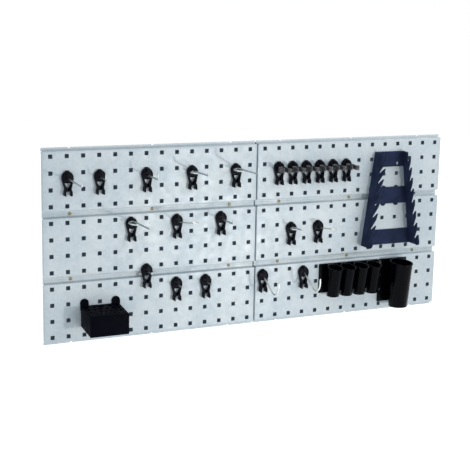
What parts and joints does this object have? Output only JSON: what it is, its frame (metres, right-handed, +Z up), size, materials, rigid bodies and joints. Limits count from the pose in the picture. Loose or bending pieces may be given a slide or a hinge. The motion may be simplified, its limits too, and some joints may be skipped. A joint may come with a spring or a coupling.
{
  "type": "pegboard tool wall",
  "caption": "Folded steel pegboard panels with square holes, carrying plug-in clips with wire hooks and spring clamps, a wrench rack, a drill block and lift-off cups.",
  "frame": {"origin": "on the wall's surface behind the middle of the board", "axes": "+X to the right along the board, +Y into the wall, +Z up"},
  "size_m": [1.065, 0.1386, 0.4558],
  "materials": {
    "galvanised_sheet": "satin galvanised sheet, pale blue grey",
    "black_clip_plastic": "satin moulded plastic",
    "black_rack_plastic": "satin moulded plastic",
    "black_box_plastic": "satin moulded plastic",
    "black_cup_plastic": "satin moulded plastic",
    "steel_wire": "zinc plated wire",
    "spring_steel": "dark spring strip"
  },
  "bodies": {
    "board": {"panel_top_left": "galvanised_sheet", "panel_top_right": "galvanised_sheet", "panel_middle_left": "galvanised_sheet", "panel_middle_right": "galvanised_sheet", "panel_bottom_left": "galvanised_sheet", "panel_bottom_right": "galvanised_sheet"},
    "peg_1_1": {"clip_1_1": "black_clip_plastic", "hook_1_1": "steel_wire"},
    "peg_1_2": {"clip_1_2": "black_clip_plastic", "hook_1_2": "steel_wire"},
    "peg_1_3": {"clip_1_3": "black_clip_plastic", "hook_1_3": "steel_wire"},
    "peg_1_4": {"clip_1_4": "black_clip_plastic", "hook_1_4": "steel_wire"},
    "peg_1_5": {"clip_1_5": "black_clip_plastic", "hook_1_5": "steel_wire"},
    "peg_2_1": {"clip_2_1": "black_clip_plastic", "hook_2_1": "steel_wire"},
    "peg_2_2": {"clip_2_2": "black_clip_plastic", "hook_2_2": "steel_wire"},
    "peg_2_3": {"clip_2_3": "black_clip_plastic", "hook_2_3": "steel_wire"},
    "peg_2_4": {"clip_2_4": "black_clip_plastic", "hook_2_4": "steel_wire"},
    "peg_2_5": {"clip_2_5": "black_clip_plastic", "hook_2_5": "steel_wire"},
    "peg_3_1": {"clip_3_1": "black_clip_plastic", "hook_3_1": "steel_wire"},
    "peg_3_2": {"clip_3_2": "black_clip_plastic", "hook_3_2": "steel_wire"},
    "peg_3_3": {"clip_3_3": "black_clip_plastic", "hook_3_3": "steel_wire"},
    "peg_3_4": {"clip_3_4": "black_clip_plastic", "hook_3_4": "steel_wire"},
    "peg_3_5": {"clip_3_5": "black_clip_plastic", "hook_3_5": "steel_wire"},
    "tool_clamp_1": {"clamp_clip_1": "black_clip_plastic", "spring_clamp_1": "spring_steel"},
    "tool_clamp_2": {"clamp_clip_2": "black_clip_plastic", "spring_clamp_2": "spring_steel"},
    "tool_clamp_3": {"clamp_clip_3": "black_clip_plastic", "spring_clamp_3": "spring_steel"},
    "tool_clamp_4": {"clamp_clip_4": "black_clip_plastic", "spring_clamp_4": "spring_steel"},
    "tool_clamp_5": {"clamp_clip_5": "black_clip_plastic", "spring_clamp_5": "spring_steel"},
    "tool_clamp_6": {"clamp_clip_6": "black_clip_plastic", "spring_clamp_6": "spring_steel"},
    "wrench_rack": {"wrench_rack": "black_rack_plastic"},
    "drill_box": {"drill_box": "black_box_plastic"},
    "small_cup_plate": {"small_cup_plate": "black_cup_plastic"},
    "large_cup_plate": {"large_cup_plate": "black_cup_plastic"},
    "small_cup_1": {"small_cup_1": "black_cup_plastic"},
    "small_cup_2": {"small_cup_2": "black_cup_plastic"},
    "small_cup_3": {"small_cup_3": "black_cup_plastic"},
    "small_cup_4": {"small_cup_4": "black_cup_plastic"},
    "large_cup": {"large_cup": "black_cup_plastic"}
  },
  "joints": [
    {"name": "peg_1_1_release", "type": "slide", "parent": "board", "child": "peg_1_1", "axis": [0, -1, 0], "range_m": [0, 0.008]},
    {"name": "peg_1_2_release", "type": "slide", "parent": "board", "child": "peg_1_2", "axis": [0, -1, 0], "range_m": [0, 0.008]},
    {"name": "peg_1_3_release", "type": "slide", "parent": "board", "child": "peg_1_3", "axis": [0, -1, 0], "range_m": [0, 0.008]},
    {"name": "peg_1_4_release", "type": "slide", "parent": "board", "child": "peg_1_4", "axis": [0, -1, 0], "range_m": [0, 0.008]},
    {"name": "peg_1_5_release", "type": "slide", "parent": "board", "child": "peg_1_5", "axis": [0, -1, 0], "range_m": [0, 0.008]},
    {"name": "peg_2_1_release", "type": "slide", "parent": "board", "child": "peg_2_1", "axis": [0, -1, 0], "range_m": [0, 0.008]},
    {"name": "peg_2_2_release", "type": "slide", "parent": "board", "child": "peg_2_2", "axis": [0, -1, 0], "range_m": [0, 0.008]},
    {"name": "peg_2_3_release", "type": "slide", "parent": "board", "child": "peg_2_3", "axis": [0, -1, 0], "range_m": [0, 0.008]},
    {"name": "peg_2_4_release", "type": "slide", "parent": "board", "child": "peg_2_4", "axis": [0, -1, 0], "range_m": [0, 0.008]},
    {"name": "peg_2_5_release", "type": "slide", "parent": "board", "child": "peg_2_5", "axis": [0, -1, 0], "range_m": [0, 0.008]},
    {"name": "peg_3_1_release", "type": "slide", "parent": "board", "child": "peg_3_1", "axis": [0, -1, 0], "range_m": [0, 0.008]},
    {"name": "peg_3_2_release", "type": "slide", "parent": "board", "child": "peg_3_2", "axis": [0, -1, 0], "range_m": [0, 0.008]},
    {"name": "peg_3_3_release", "type": "slide", "parent": "board", "child": "peg_3_3", "axis": [0, -1, 0], "range_m": [0, 0.008]},
    {"name": "peg_3_4_release", "type": "slide", "parent": "board", "child": "peg_3_4", "axis": [0, -1, 0], "range_m": [0, 0.008]},
    {"name": "peg_3_5_release", "type": "slide", "parent": "board", "child": "peg_3_5", "axis": [0, -1, 0], "range_m": [0, 0.008]},
    {"name": "tool_clamp_1_release", "type": "slide", "parent": "board", "child": "tool_clamp_1", "axis": [0, -1, 0], "range_m": [0, 0.008]},
    {"name": "tool_clamp_2_release", "type": "slide", "parent": "board", "child": "tool_clamp_2", "axis": [0, -1, 0], "range_m": [0, 0.008]},
    {"name": "tool_clamp_3_release", "type": "slide", "parent": "board", "child": "tool_clamp_3", "axis": [0, -1, 0], "range_m": [0, 0.008]},
    {"name": "tool_clamp_4_release", "type": "slide", "parent": "board", "child": "tool_clamp_4", "axis": [0, -1, 0], "range_m": [0, 0.008]},
    {"name": "tool_clamp_5_release", "type": "slide", "parent": "board", "child": "tool_clamp_5", "axis": [0, -1, 0], "range_m": [0, 0.008]},
    {"name": "tool_clamp_6_release", "type": "slide", "parent": "board", "child": "tool_clamp_6", "axis": [0, -1, 0], "range_m": [0, 0.008]},
    {"name": "wrench_rack_release", "type": "slide", "parent": "board", "child": "wrench_rack", "axis": [0, -1, 0], "range_m": [0, 0.008]},
    {"name": "drill_box_release", "type": "slide", "parent": "board", "child": "drill_box", "axis": [0, -1, 0], "range_m": [0, 0.008]},
    {"name": "small_cup_plate_release", "type": "slide", "parent": "board", "child": "small_cup_plate", "axis": [0, -1, 0], "range_m": [0, 0.008]},
    {"name": "large_cup_plate_release", "type": "slide", "parent": "board", "child": "large_cup_plate", "axis": [0, -1, 0], "range_m": [0, 0.008]},
    {"name": "small_cup_1_lift", "type": "slide", "parent": "small_cup_plate", "child": "small_cup_1", "axis": [0, 0, 1], "range_m": [0, 0.015]},
    {"name": "small_cup_2_lift", "type": "slide", "parent": "small_cup_plate", "child": "small_cup_2", "axis": [0, 0, 1], "range_m": [0, 0.015]},
    {"name": "small_cup_3_lift", "type": "slide", "parent": "small_cup_plate", "child": "small_cup_3", "axis": [0, 0, 1], "range_m": [0, 0.015]},
    {"name": "small_cup_4_lift", "type": "slide", "parent": "small_cup_plate", "child": "small_cup_4", "axis": [0, 0, 1], "range_m": [0, 0.015]},
    {"name": "large_cup_lift", "type": "slide", "parent": "large_cup_plate", "child": "large_cup", "axis": [0, 0, 1], "range_m": [0, 0.015]}
  ]
}
